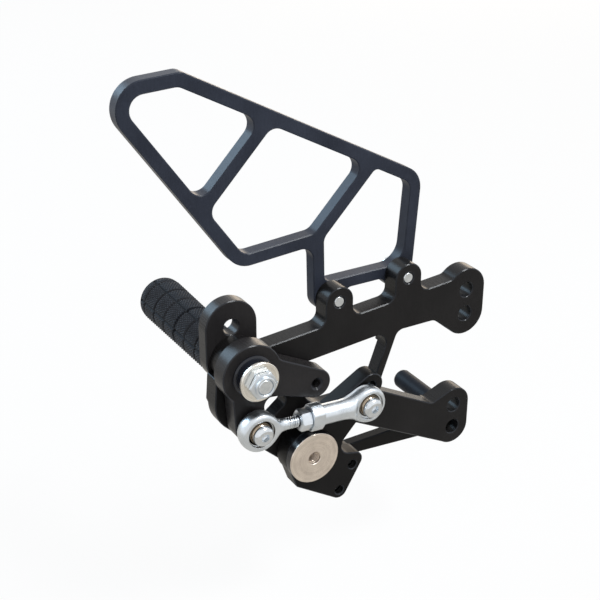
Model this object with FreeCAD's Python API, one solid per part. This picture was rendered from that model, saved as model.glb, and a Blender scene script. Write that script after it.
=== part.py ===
import FreeCAD, Part
import math
import os

# Left-hand footrest set of a motorcycle: milled plates, a knurled footpeg and the gear shift linkage.
# X points forward, Y points outboard (the footpeg points along +Y) and Z points up. Lengths are in mm.
# While a piece is made, x = 0 and z = 0 lie on the footpeg axis, and y = 0 is the inboard face of the
# main plate. The finished pieces are moved so that the origin is the middle of the upper frame bolt hole.

# Main plate
plate_thick = 10.0
web_thick = 8.0
edge_break = 0.5
hub_r = 12.0
hub_fillet = 6.0
heel_shoulder = (-13.8, -4.6)
heel_shoulder_r = 1.0
heel_notch = (-6.0, -6.0)
heel_corner = (2.3, -19.0)
heel_corner_r = 17.8
bar_tilt = 5.1
bar_height = 16.4
bar_top_z = 4.9
shoulder_z = -4.8
shoulder_end = (114.6, -4.8)
arm_tilt = -27.8
arm_width = 20.3
arm_point = (106.3, -74.0)
arm_top_end = (116.3, 0.0)
arm_knee = (57.5, 0.0)
strut_width = 4.6
strut_lean = 70.0
strut_point = (84.0, -11.9)
ear_r = 8.0
ear_rear = (55.5, 20.3)
ear_front = (96.9, 23.8)
ear_fillet = 5.0

# Frame bolt lobes
frame_hole_r = 4.15
frame_hole_gap = 14.0
upper_lobe_r = 12.1
upper_hole = (134.6, 8.3)
lower_lobe_r = 10.3
lower_hole = (131.0, -61.5)

# Openings of the main plate, and the foot of its full-thickness rear boss
relief_heel = (0.0, -14.5)
relief_heel_r = 15.5
window_rear_x = 33.5
window_floor_z = -35.5
window_big_r = 15.0
window_r = 5.8
triangle_corners = ((-5.5, -20.5), (29.8, -24.1), (9.2, -40.5))
triangle_r = 3.5

# Heel guard
guard_thick = 7.5
guard_rib = 6.5
guard_rib_tilt = 46.5
guard_heel_r = 13.5
guard_heel = (-63.3, 142.8)
guard_crown = (-20.5, 144.9)
guard_brow = (109.6, 75.0)
guard_knee = (45.8, 48.9)
guard_belly = (4.5, 45.9)
guard_foot_r = 9.0
guard_rib_rear = (5.9, 98.8)
guard_rib_front = (62.4, 67.1)
guard_sill = 6.2
guard_sill_z = 21.7
guard_sill_r = 5.0
guard_corner_r = 11.0

# Screws, by thread radius; a button head's brim, dome, crown and socket are shares of its size
m6_r = 3.0
m6_core_r = 2.5
m6_head_r = 5.25
m6_head_high = 3.3
m6_key = 4.0
m8_r = 4.0
m8_core_r = 3.4
m8_head_r = 6.5
m8_head_high = 8.0
m8_key = 6.0
m8_button_r = 7.0
m8_button_high = 4.4
m8_button_key = 5.0
button_brim = 0.35
button_dome = 0.82
button_dome_high = 0.75
button_crown = 0.55
button_socket = 0.6
thread_gap = 0.05
bolt_gap = 0.1
running_gap = 0.05
side_play = 0.15

# How far a cutter runs past the metal, and what counts as one place
past = 1.0
same_place = 1e-4

# Peg mount plate and footpeg
peg_plate_r = 14.0
peg_plate_thick = 8.0
peg_hole_gap = 16.3
peg_hole_r = 4.15
peg_centre = (-1.6, -1.8)
peg_root_r = 11.5
peg_tip_r = 12.9
peg_long = 74.0
peg_rings = 6
peg_ring_first = 8.5
peg_ring_gap = 11.8
peg_slot = 3
peg_slot_deep = 2.0
peg_flutes = 6
peg_flute_turn = 48.0
peg_groove_wide = 1.4
peg_groove_deep = 0.9
peg_end_round = 2.0
peg_socket_deep = 9.5
peg_socket_gap = 0.8

# Levers, inboard of the main plate
washer_thick = 1.0
thrust_washer_r = 11.5
lever_thick = 10.0
bellcrank_hub_r = 15.7
bellcrank_ear = (36.0, -15.2)
bellcrank_ear_r = 7.7
bellcrank_ear_top_tilt = -27.3
bellcrank_ear_low_tilt = -19.5
bellcrank_pin = (-0.3, -28.0)
bellcrank_pin_r = 9.2
bellcrank_heel_x = 11.3
bellcrank_fillet = 5.0
sleeve_r = 6.5
bush_wall = 2.0
collar_r = 9.5
collar_long = 6.3
hub_washer_r = 10.2
hub_washer_thick = 1.6
hub_nut_flats = 13.0
hub_nut_high = 5.8
hub_nut_bevel_r = 6.1
hub_nut_bevel = 1.0
hub_nut_crown = 1.6
hub_nut_crown_r = 5.45

# Rocker, pivot pin and toe lever
pivot = (32.0, -54.8)
pivot_boss_r = 12.0
rocker_hub_r = 13.8
rocker_pin = (62.2, -31.2)
rocker_end = (68.6, -25.6)
rocker_end_r = 6.7
rocker_notch_r = 5.6
lobe_hole_high = (57.9, -70.0)
lobe_hole_low = (50.1, -83.4)
lobe_edge = 4.9
lobe_crown = 7.2
lobe_crown_tilt = -13.0
rocker_chin = (24.3, -72.6)
rocker_heel_turn = 65.0
pin_flange_r = 13.9
pin_flange_thick = 4.6
pin_journal_r = 8.0
pin_spigot_r = 6.5
pin_thread_deep = 12.75
toe_lever_thick = 6.0
toe_lever_gap = 1.0
toe_screw_web = 4.0
toe_root_r = 2.6
toe_tip = (140.6, -78.6)
toe_tip_r = 6.5
toe_spacer_r = 6.3
toe_peg_r = 5.7
toe_peg_long = 47.5
toe_peg_round = 1.7
toe_peg_round_side = 0.5
toe_socket_deep = 5.3
toe_screw_head_r = 4.25

# Link rod
eye_r = 10.0
eye_wide = 6.75
ball_r = 6.35
ball_wide = 9.0
rod_gap = 0.08
open_end_gap = 0.55
rod_washer_thick = 0.9
rod_washer_r = 5.4
rod_core_r = 4.9
rod_neck_r = 5.05
rod_neck_inset = 1.5
rod_neck_long = 6.0
male_neck_r = 4.5
male_neck_long = 4.5
rod_bore_spare = 2.0
female_long = 34.5
male_long = 37.0
collar_flats = 10.1
collar_thick = 8.0
jam_nut_flats = 10.0
jam_nut_thick = 6.0

# Worked out from the sizes above
lever_back = -washer_thick
lever_front = lever_back - lever_thick
guard_back = plate_thick + guard_thick
peg_start = plate_thick + peg_plate_thick
peg_end = peg_start + peg_long
toe_lever_front = plate_thick + toe_lever_gap
toe_lever_back = toe_lever_front + toe_lever_thick
ball_y = lever_front - rod_washer_thick - ball_wide / 2.0
toe_screw_tip = lever_front + toe_screw_web
hub = (0.0, 0.0)
upper_hole_low = (upper_hole[0], upper_hole[1] - frame_hole_gap)
lower_hole_low = (lower_hole[0], lower_hole[1] - frame_hole_gap)
peg_plate_top = (hub[0], hub[1] + peg_hole_gap)


# Plane geometry: a point is (x, z), a line is (point, angle in degrees)

def along(point, angle, distance):
    """The point at a distance from another, in the direction of an angle."""
    turn = math.radians(angle)
    return (point[0] + distance * math.cos(turn), point[1] + distance * math.sin(turn))


def angle_to(start, end):
    return math.degrees(math.atan2(end[1] - start[1], end[0] - start[0]))


def line_through(start, end):
    return (start, angle_to(start, end))


def shifted(line, distance):
    """The line moved to the right of its own direction."""
    point, angle = line
    return (along(point, angle - 90.0, distance), angle)


def meet(first, second):
    """The point where two lines cross."""
    (px, pz), pa = first
    (qx, qz), qa = second
    ux, uz = math.cos(math.radians(pa)), math.sin(math.radians(pa))
    vx, vz = math.cos(math.radians(qa)), math.sin(math.radians(qa))
    reach = ((qx - px) * vz - (qz - pz) * vx) / (ux * vz - uz * vx)
    return (px + reach * ux, pz + reach * uz)


def tangent_points(first, first_r, second, second_r, side):
    """Where the outer tangent of two circles touches them, on the left (1) or right (-1) side."""
    reach = math.dist(first, second)
    lean = math.degrees(math.asin((first_r - second_r) / reach))
    normal = angle_to(first, second) + side * (90.0 - lean)
    return along(first, normal, first_r), along(second, normal, second_r)


def at(point, y=0.0):
    return FreeCAD.Vector(point[0], y, point[1])


# Outlines and solids

def rounded_outline(corners):
    """A closed wire through (point, radius) corners, each rounded by its own radius."""
    edges = []
    spans = []
    count = len(corners)
    for index, (point, radius) in enumerate(corners):
        before = corners[index - 1][0]
        after = corners[(index + 1) % count][0]
        arm_in = angle_to(point, before)
        arm_out = angle_to(point, after)
        opening = abs((arm_in - arm_out + 180.0) % 360.0 - 180.0)
        half = math.radians(opening / 2.0)
        cut = radius / math.tan(half)
        start = along(point, arm_in, cut)
        end = along(point, arm_out, cut)
        middle = None
        if radius > 0.0:
            toward = angle_to(point, along(along(point, arm_in, 1.0), arm_out, 1.0))
            middle = along(point, toward, radius / math.sin(half) - radius)
        spans.append((start, middle, end))
    for index, (start, middle, end) in enumerate(spans):
        if middle is not None:
            edges.append(Part.Arc(at(start), at(middle), at(end)).toShape())
        following = spans[(index + 1) % count][0]
        if math.dist(end, following) > same_place:
            edges.append(Part.LineSegment(at(end), at(following)).toShape())
    return Part.Wire(Part.__sortEdges__(edges))


def prism(wire, y_low, y_high):
    """The solid between two planes of constant y, with the given outline."""
    solid = Part.Face(wire).extrude(FreeCAD.Vector(0.0, y_high - y_low, 0.0))
    solid.translate(FreeCAD.Vector(0.0, y_low, 0.0))
    return solid


def disc(centre, radius, y_low, y_high):
    return Part.makeCylinder(radius, y_high - y_low, at(centre, y_low), FreeCAD.Vector(0.0, 1.0, 0.0))


def ring(centre, outer_r, inner_r, y_low, y_high):
    return disc(centre, outer_r, y_low, y_high).cut(disc(centre, inner_r, y_low, y_high))


def cone(centre, low_r, high_r, y_low, y_high):
    return Part.makeCone(low_r, high_r, y_high - y_low, at(centre, y_low), FreeCAD.Vector(0.0, 1.0, 0.0))


def belt(first, first_r, second, second_r, y_low, y_high):
    """The shape of a belt laid round two discs."""
    left = tangent_points(first, first_r, second, second_r, 1)
    right = tangent_points(first, first_r, second, second_r, -1)
    middle = prism(rounded_outline([(left[0], 0), (left[1], 0), (right[1], 0), (right[0], 0)]), y_low, y_high)
    ends = [disc(first, first_r, y_low, y_high), disc(second, second_r, y_low, y_high)]
    return middle.fuse(ends).removeSplitter()


def corner_fill(line, side, centre, radius, fillet_r, y_low, y_high):
    """Fills the inside corner that a line makes with a disc ahead, on its right (1) or left (-1)."""
    guide = shifted(line, side * fillet_r)
    foot = meet(guide, (centre, line[1] + 90.0))
    reach = radius + fillet_r
    back = math.sqrt(reach ** 2 - math.dist(foot, centre) ** 2)
    middle = along(foot, line[1] + 180.0, back)
    touch = along(middle, line[1] + side * 90.0, fillet_r)
    near = meet(line, (centre, line[1] + 90.0))
    wedges = []
    for third in (middle, near):
        wedges.append(prism(rounded_outline([(touch, 0), (third, 0), (centre, 0)]), y_low, y_high))
    return wedges[0].fuse(wedges[1]).cut(disc(middle, fillet_r, y_low - past, y_high + past))


def hexagon(centre, flats, y_low, y_high):
    corner_r = flats / math.sqrt(3.0)
    corners = [(along(centre, 60.0 * step + 30.0, corner_r), 0) for step in range(6)]
    return prism(rounded_outline(corners), y_low, y_high)


def turned(profile, centre):
    """A solid of revolution about y through a centre; the profile lists (radius, y) points."""
    points = [FreeCAD.Vector(radius, y, 0.0) for radius, y in profile]
    face = Part.Face(Part.makePolygon(points + points[:1]))
    solid = face.revolve(FreeCAD.Vector(0.0, 0.0, 0.0), FreeCAD.Vector(0.0, 1.0, 0.0), 360.0)
    solid.translate(at(centre))
    return solid


def broken_edges(solid, size, planes):
    """Chamfer the edges of every flat face that lies in one of the given planes of constant y."""
    edges = []
    for face in solid.Faces:
        box = face.BoundBox
        if box.YLength < same_place and any(abs(box.YMin - plane) < same_place for plane in planes):
            edges.extend(face.Edges)
    return solid.makeChamfer(size, edges)


def hole_mouth(centre, radius, chamfer, y_face, inward):
    """The cone that breaks the edge of a round hole; inward is 1 or -1 along y."""
    low, high = sorted((y_face, y_face + inward * chamfer))
    wide_first = low == y_face
    first, second = (radius + chamfer, radius) if wide_first else (radius, radius + chamfer)
    return cone(centre, first, second, low, high)


def button_screw(centre, shank_r, head_r, head_high, key, y_seat, y_tip):
    """A button head screw; its head lies on the far side of y_seat from y_tip."""
    side = 1.0 if y_seat > y_tip else -1.0
    top = y_seat + side * head_high
    brim = y_seat + side * head_high * button_brim
    dome = y_seat + side * head_high * button_dome_high
    tip = y_tip + side * edge_break
    profile = [(0.0, y_tip), (shank_r - edge_break, y_tip), (shank_r, tip), (shank_r, y_seat),
               (head_r, y_seat), (head_r, brim), (head_r * button_dome, dome),
               (head_r * button_crown, top), (0.0, top)]
    low, high = sorted((top, top - side * head_high * button_socket))
    return turned(profile, centre).cut(hexagon(centre, key, low, high))


# Main plate

def plate_outline():
    """The outline of the main plate; its round bosses are added as discs."""
    upright = 90.0
    bar_top = ((hub[0], bar_top_z), bar_tilt)
    shoulder = ((0.0, shoulder_z), 0.0)
    strut_front = shifted((strut_point, strut_lean), strut_width)
    arm_low = (arm_point, arm_tilt)
    arm_top = shifted(arm_low, -arm_width)
    rear_x = heel_corner[0] - heel_corner_r
    corners = [(heel_shoulder, heel_shoulder_r), (heel_notch, 0), (hub, 0), ((hub[0], bar_top_z), 0)]
    for ear in (ear_rear, ear_front):
        for side in (-ear_r, ear_r):
            edge = ((ear[0] + side, 0.0), upright)
            foot = (meet(bar_top, edge), ear_fillet)
            crown = ((ear[0] + side, ear[1] + ear_r), ear_r)
            corners += [foot, crown] if side < 0.0 else [crown, foot]
    corners += [
        (meet(bar_top, (upper_hole, upright)), 0),
        (upper_hole_low, 0),
        (tangent_points(shoulder_end, 0.0, upper_hole_low, upper_lobe_r, -1)[1], 0),
        (shoulder_end, ear_fillet),
        (meet(shoulder, strut_front), ear_fillet),
        (meet(strut_front, arm_top), triangle_r),
        (meet(arm_top, (arm_top_end, upright)), triangle_r),
        (tangent_points(meet(arm_top, (arm_top_end, upright)), 0.0, lower_hole, lower_lobe_r, 1)[1], 0),
        (lower_hole, 0),
        (lower_hole_low, 0),
        (meet(arm_low, (along(lower_hole_low, 180.0, lower_lobe_r / 2.0), upright)), 0),
        (meet(arm_low, (arm_knee, upright)), window_r),
        (tangent_points(pivot, pivot_boss_r, meet(arm_low, (arm_knee, upright)), 0.0, -1)[0], 0),
        (pivot, 0),
    ]
    heel_edge = tangent_points(heel_corner, heel_corner_r, pivot, pivot_boss_r, -1)
    corners += [(heel_edge[1], 0), (meet(line_through(*heel_edge), ((rear_x, 0.0), upright)), heel_corner_r)]
    return rounded_outline(corners)


def plate_openings():
    """The big window under the bar and the small triangular opening beside the pivot."""
    bar_low = shifted(((hub[0], bar_top_z), bar_tilt), bar_height)
    strut_rear = (strut_point, strut_lean)
    window = [
        (meet(bar_low, ((window_rear_x, 0.0), 90.0)), triangle_r),
        (meet(bar_low, strut_rear), window_r),
        (meet(strut_rear, ((0.0, window_floor_z), 0.0)), window_r),
        ((window_rear_x, window_floor_z), window_big_r),
    ]
    triangle = [(corner, triangle_r) for corner in triangle_corners]
    return [rounded_outline(window), rounded_outline(triangle)]


def back_relief():
    """What is milled off the outboard face behind the strut and the arm."""
    rear_x = heel_corner[0] - 2.0 * heel_corner_r
    front_x = shoulder_end[0]
    deep = arm_point[1] - arm_width
    corners = [((rear_x, strut_point[1]), 0), ((front_x, strut_point[1]), 0),
               ((front_x, deep), 0), ((rear_x, deep), 0)]
    relief = prism(rounded_outline(corners), web_thick, plate_thick + past)
    low = web_thick - past
    high = plate_thick + 2.0 * past
    kept = [belt(hub, relief_heel_r, relief_heel, relief_heel_r, low, high),
            disc(pivot, pivot_boss_r + edge_break, low, high),
            disc(lower_hole, lower_lobe_r + edge_break, low, high),
            disc(lower_hole_low, lower_lobe_r + edge_break, low, high)]
    return relief.cut(kept)


def main_bracket():
    low = -past
    high = plate_thick + past
    solid = prism(plate_outline(), 0.0, plate_thick)
    bosses = [disc(hub, hub_r, 0.0, plate_thick),
              disc(pivot, pivot_boss_r, 0.0, plate_thick),
              belt(upper_hole, upper_lobe_r, upper_hole_low, upper_lobe_r, 0.0, plate_thick),
              belt(lower_hole, lower_lobe_r, lower_hole_low, lower_lobe_r, 0.0, plate_thick)]
    bar_forward = ((hub[0], bar_top_z), bar_tilt)
    bar_rearward = ((hub[0], bar_top_z), bar_tilt + 180.0)
    fills = [corner_fill(bar_forward, -1, upper_hole, upper_lobe_r, ear_fillet, 0.0, plate_thick),
             corner_fill(bar_rearward, 1, hub, hub_r, hub_fillet, 0.0, plate_thick)]
    solid = solid.fuse(bosses + fills)
    solid = solid.cut([prism(wire, low, high) for wire in plate_openings()]).removeSplitter()
    solid = broken_edges(solid, edge_break, [0.0]).cut(back_relief())

    holes = [disc(hub, m8_r + bolt_gap, low, high), disc(pivot, pin_spigot_r + thread_gap, low, high)]
    for ear in (ear_rear, ear_front):
        holes.append(disc(ear, m6_r + thread_gap, low, high))
        holes.append(hole_mouth(ear, m6_r + thread_gap, edge_break, 0.0, 1))
    for hole in (upper_hole, upper_hole_low, lower_hole, lower_hole_low):
        holes.append(disc(hole, frame_hole_r, low, high))
        holes.append(hole_mouth(hole, frame_hole_r, edge_break, 0.0, 1))
        holes.append(hole_mouth(hole, frame_hole_r, edge_break, plate_thick, -1))
    return solid.cut(holes)


# Heel guard and its screws

def heel_guard():
    heel_edge = line_through(guard_belly, guard_heel)
    crown_edge = line_through(guard_heel, guard_crown)
    top_edge = line_through(guard_crown, guard_brow)
    foot_front = (ear_front[0] + guard_foot_r, ear_front[1])
    foot_rear = (ear_rear[0] - guard_foot_r, ear_rear[1])
    front_edge = line_through(guard_brow, foot_front)
    sill_forward = ((0.0, guard_sill_z), 0.0)
    sill_rearward = ((0.0, guard_sill_z), 180.0)
    leg_edge = line_through(foot_rear, guard_knee)
    belly_edge = line_through(guard_knee, guard_belly)
    inner_r = guard_rib
    outline = rounded_outline([
        (guard_heel, guard_heel_r), (guard_crown, inner_r), (guard_brow, 2.0 * inner_r), (foot_front, 0),
        (ear_front, 0), ((ear_front[0], guard_sill_z), 0), ((ear_rear[0], guard_sill_z), 0),
        (foot_rear, 0), (guard_knee, inner_r), (guard_belly, 2.0 * inner_r),
    ])
    solid = prism(outline, plate_thick, guard_back)
    feet = [disc(ear, guard_foot_r, plate_thick, guard_back) for ear in (ear_rear, ear_front)]
    fills = [corner_fill(sill_forward, 1, ear_front, guard_foot_r, guard_sill_r, plate_thick, guard_back),
             corner_fill(sill_rearward, -1, ear_rear, guard_foot_r, guard_sill_r, plate_thick, guard_back)]
    solid = solid.fuse(feet + fills).removeSplitter()

    half = guard_rib / 2.0
    rear_rib = (guard_rib_rear, guard_rib_tilt)
    front_rib = (guard_rib_front, guard_rib_tilt)
    heel_in = shifted(heel_edge, guard_rib)
    crown_in = shifted(crown_edge, guard_rib)
    top_in = shifted(top_edge, guard_rib)
    front_in = shifted(front_edge, guard_rib)
    sill_top = shifted(sill_rearward, guard_sill)
    leg_in = shifted(leg_edge, guard_rib)
    belly_in = shifted(belly_edge, guard_rib)
    windows = [
        [(meet(heel_in, crown_in), guard_heel_r - guard_rib), (meet(crown_in, top_in), inner_r),
         (meet(top_in, shifted(rear_rib, -half)), inner_r),
         (meet(shifted(rear_rib, -half), heel_in), inner_r)],
        [(meet(shifted(rear_rib, half), top_in), inner_r), (meet(top_in, shifted(front_rib, -half)), inner_r),
         (meet(shifted(front_rib, -half), belly_in), inner_r), (meet(belly_in, heel_in), inner_r),
         (meet(heel_in, shifted(rear_rib, half)), inner_r)],
        [(meet(shifted(front_rib, half), top_in), half), (meet(top_in, front_in), inner_r),
         (meet(front_in, sill_top), guard_corner_r), (meet(sill_top, leg_in), half),
         (meet(leg_in, shifted(front_rib, half)), inner_r)],
    ]
    for corners in windows:
        solid = solid.cut(prism(rounded_outline(corners), plate_thick - past, guard_back + past))
    solid = broken_edges(solid, edge_break, [plate_thick, guard_back])
    return solid.cut([disc(ear, m6_r + bolt_gap, plate_thick - past, guard_back + past)
                      for ear in (ear_rear, ear_front)])


def heel_guard_screws():
    screws = [button_screw(ear, m6_r, m6_head_r, m6_head_high, m6_key, guard_back, edge_break)
              for ear in (ear_rear, ear_front)]
    return Part.makeCompound(screws)


# Footpeg and its plate

def peg_mount_plate():
    solid = belt(hub, peg_plate_r, peg_plate_top, peg_plate_r, plate_thick, peg_start)
    solid = broken_edges(solid, edge_break, [plate_thick, peg_start])
    holes = [disc(hub, m8_r + bolt_gap, plate_thick - past, peg_start + past),
             disc(peg_plate_top, peg_hole_r, plate_thick - past, peg_start + past),
             hole_mouth(peg_plate_top, peg_hole_r, edge_break, plate_thick, 1),
             hole_mouth(peg_plate_top, peg_hole_r, edge_break, peg_start, -1)]
    return solid.cut(holes)


def footpeg():
    """A turned grip whose ring grooves and flutes leave raised blocks; its bore is a little off centre."""
    half = peg_groove_wide / 2.0

    def skin_r(y):
        return peg_root_r + (peg_tip_r - peg_root_r) * (y - peg_start) / peg_long

    rim = peg_start + edge_break
    profile = [(0.0, peg_start), (peg_root_r - edge_break, peg_start), (skin_r(rim), rim)]
    for index in range(peg_rings):
        middle = peg_start + peg_ring_first + index * peg_ring_gap
        deep = peg_slot_deep if index + 1 == peg_slot else peg_groove_deep
        floor_r = skin_r(middle) - deep
        profile += [(skin_r(middle - half), middle - half), (floor_r, middle - half / 2.0),
                    (floor_r, middle + half / 2.0), (skin_r(middle + half), middle + half)]
    shoulder = peg_end - peg_end_round
    profile += [(skin_r(shoulder), shoulder), (skin_r(shoulder) - peg_end_round, peg_end), (0.0, peg_end)]
    solid = turned(profile, peg_centre)
    flutes = []
    for index in range(peg_flutes):
        angle = 360.0 / peg_flutes * index + peg_flute_turn
        edge = along(peg_centre, angle - 90.0, half)
        corners = [at(along(edge, angle, peg_root_r - peg_groove_deep), peg_start - past),
                   at(along(edge, angle, peg_tip_r - peg_groove_deep), peg_end + past),
                   at(along(edge, angle, peg_tip_r + past), peg_end + past),
                   at(along(edge, angle, peg_tip_r + past), peg_start - past)]
        side = Part.Face(Part.makePolygon(corners + corners[:1]))
        flutes.append(side.extrude(at(along((0.0, 0.0), angle + 90.0, peg_groove_wide))))
    bore = disc(hub, m8_r + bolt_gap, peg_start - past, peg_end + past)
    socket = disc(hub, m8_head_r + peg_socket_gap, peg_end - peg_socket_deep, peg_end + past)
    return solid.cut(flutes + [bore, socket])


def footpeg_bolt():
    seat = peg_end - peg_socket_deep
    tip = hub_nut_front() + edge_break / 2.0
    top = seat + m8_head_high
    profile = [(0.0, tip), (m8_r - edge_break, tip), (m8_r, tip + edge_break), (m8_r, seat),
               (m8_head_r, seat), (m8_head_r, top - edge_break), (m8_head_r - edge_break, top), (0.0, top)]
    return turned(profile, hub).cut(hexagon(hub, m8_key, top - m8_head_high / 2.0, top))


# Bellcrank stack on the footpeg bolt

def sleeve_front():
    return lever_front - side_play


def collar_front():
    return sleeve_front() - collar_long


def hub_nut_back():
    return collar_front() - hub_washer_thick


def hub_nut_front():
    return hub_nut_back() - hub_nut_high


def hub_sleeve():
    return ring(hub, sleeve_r, m8_r + bolt_gap, sleeve_front(), 0.0)


def hub_thrust_washer():
    return ring(hub, thrust_washer_r, sleeve_r + running_gap, lever_back + side_play, 0.0)


def hub_collar():
    front = collar_front()
    back = sleeve_front()
    lip = 2.0 * edge_break
    profile = [(m8_r + bolt_gap, front), (collar_r - edge_break, front), (collar_r, front + edge_break),
               (collar_r, back - lip), (collar_r + lip, back - edge_break), (collar_r + lip, back),
               (m8_r + bolt_gap, back)]
    return turned(profile, hub)


def hub_washer():
    return broken_edges(ring(hub, hub_washer_r, m8_r + bolt_gap, hub_nut_back(), collar_front()),
                        edge_break / 2.0, [hub_nut_back()])


def hub_nut():
    """A hexagon nut with the round, slightly smaller crown of a locking insert."""
    front = hub_nut_front()
    step = front + hub_nut_crown
    back = hub_nut_back()
    corner_r = hub_nut_flats / math.sqrt(3.0)
    bevel = turned([(0.0, step), (hub_nut_bevel_r, step), (corner_r, step + hub_nut_bevel), (corner_r, back),
                    (0.0, back)], hub)
    crown = turned([(0.0, front), (hub_nut_crown_r - edge_break, front),
                    (hub_nut_crown_r, front + edge_break), (hub_nut_crown_r, step), (0.0, step)], hub)
    solid = hexagon(hub, hub_nut_flats, step, back).common(bevel).fuse(crown)
    return solid.cut(disc(hub, m8_r + thread_gap, front - past, back + past))


def bellcrank():
    ear_top = shifted((bellcrank_ear, bellcrank_ear_top_tilt), -bellcrank_ear_r)
    ear_low = shifted((bellcrank_ear, bellcrank_ear_low_tilt), bellcrank_ear_r)
    back_along_top = (ear_top[0], bellcrank_ear_top_tilt + 180.0)
    back_along_low = (ear_low[0], bellcrank_ear_low_tilt + 180.0)
    outline = rounded_outline([
        (hub, 0),
        (meet(ear_top, (hub, bellcrank_ear_top_tilt + 90.0)), 0),
        (ear_top[0], 0),
        (bellcrank_ear, 0),
        (ear_low[0], 0),
        (meet(ear_low, (bellcrank_pin, bellcrank_ear_low_tilt + 90.0)), 0),
        (bellcrank_pin, 0),
        (along(bellcrank_pin, 180.0, bellcrank_pin_r), 0),
        (along(hub, 180.0, bellcrank_heel_x), 0),
    ])
    solid = prism(outline, lever_front, lever_back)
    rounds = [
        disc(hub, bellcrank_hub_r, lever_front, lever_back),
        disc(bellcrank_ear, bellcrank_ear_r, lever_front, lever_back),
        disc(bellcrank_pin, bellcrank_pin_r, lever_front, lever_back),
        corner_fill(back_along_top, 1, hub, bellcrank_hub_r, bellcrank_fillet, lever_front, lever_back),
        corner_fill(back_along_low, -1, bellcrank_pin, bellcrank_pin_r, bellcrank_fillet,
                    lever_front, lever_back),
    ]
    solid = solid.fuse(rounds).removeSplitter()
    solid = broken_edges(solid, edge_break, [lever_front, lever_back])
    holes = [disc(hub, sleeve_r + bush_wall, lever_front - past, lever_back + past),
             disc(bellcrank_ear, m6_core_r, lever_front - past, lever_back + past),
             hole_mouth(bellcrank_ear, m6_core_r, 2.0 * edge_break, lever_front, 1),
             disc(bellcrank_pin, m6_r + thread_gap, lever_front - past, lever_back + past)]
    return solid.cut(holes)


def bellcrank_bush():
    return ring(hub, sleeve_r + bush_wall, sleeve_r + running_gap, lever_front, lever_back)


# Pivot pin and rocker stack

def pivot_pin():
    """The flanged pin: its flange holds the rocker, its journal carries it, its spigot sits in the plate."""
    front = lever_front - side_play - pin_flange_thick
    back = lever_front - side_play
    step = edge_break / 2.0
    floor = front + pin_thread_deep
    profile = [(m8_core_r + step, front), (pin_flange_r - step, front), (pin_flange_r, front + step),
               (pin_flange_r, back), (pin_journal_r, back), (pin_journal_r, 0.0), (pin_spigot_r, 0.0),
               (pin_spigot_r, plate_thick - step), (m8_core_r + thread_gap, plate_thick - step),
               (m8_core_r + thread_gap, 0.0), (0.0, 0.0), (0.0, floor), (m8_core_r, floor),
               (m8_core_r, front + step)]
    return turned(profile, pivot)


def pivot_thrust_washer():
    return ring(pivot, pivot_boss_r - edge_break, pin_journal_r + running_gap, lever_back + side_play, 0.0)


def pivot_screw_washer():
    outer_r = m8_button_r + 2.0 * edge_break
    return ring(pivot, outer_r, m8_r + bolt_gap, plate_thick, plate_thick + hub_washer_thick)


def pivot_screw():
    seat = plate_thick + hub_washer_thick
    return button_screw(pivot, m8_core_r, m8_button_r, m8_button_high, m8_button_key, seat, edge_break)


def rocker():
    tops = tangent_points(pivot, rocker_hub_r, rocker_end, rocker_end_r, 1)
    lows = tangent_points(pivot, rocker_hub_r, rocker_end, rocker_end_r, -1)
    hole_line = line_through(lobe_hole_high, lobe_hole_low)
    front_edge = shifted(hole_line, -lobe_edge)
    crown_edge = shifted((lobe_hole_high, lobe_crown_tilt), -lobe_crown)
    chin_edge = line_through(rocker_chin, tangent_points(rocker_chin, 0.0, lobe_hole_low, lobe_edge, -1)[1])
    rear = along(pivot, angle_to(pivot, rocker_chin) - rocker_heel_turn, rocker_hub_r)
    outline = rounded_outline([
        (tops[0], 0), (tops[1], 0), (lows[1], 0),
        (meet(line_through(lows[0], lows[1]), crown_edge), rocker_notch_r),
        (meet(crown_edge, front_edge), lobe_edge), (meet(front_edge, chin_edge), lobe_edge),
        (rocker_chin, lobe_edge / 2.0), (rear, 0),
    ])
    solid = prism(outline, lever_front, lever_back)
    rounds = [disc(pivot, rocker_hub_r, lever_front, lever_back),
              disc(rocker_end, rocker_end_r, lever_front, lever_back)]
    solid = solid.fuse(rounds).removeSplitter()
    solid = broken_edges(solid, edge_break, [lever_front, lever_back])
    low = lever_front - past
    high = lever_back + past
    holes = [disc(pivot, pin_journal_r + bush_wall, low, high),
             disc(rocker_pin, m6_r + thread_gap, low, high),
             disc(rocker_end, m6_core_r, low, high),
             hole_mouth(rocker_end, m6_core_r, edge_break, lever_front, 1)]
    for hole in (lobe_hole_high, lobe_hole_low):
        holes.append(disc(hole, m6_core_r, low, high))
        holes.append(disc(hole, m6_r + thread_gap, toe_screw_tip - edge_break, high))
        holes.append(hole_mouth(hole, m6_core_r, edge_break, lever_front, 1))
    return solid.cut(holes)


def rocker_bush():
    return ring(pivot, pin_journal_r + bush_wall, pin_journal_r + running_gap, lever_front, lever_back)


# Toe lever and toe peg

def toe_spacer():
    solid = belt(lobe_hole_high, toe_spacer_r, lobe_hole_low, toe_spacer_r, lever_back, toe_lever_front)
    return solid.cut([disc(hole, m6_r + bolt_gap, lever_back - past, toe_lever_front + past)
                      for hole in (lobe_hole_high, lobe_hole_low)])


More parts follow.
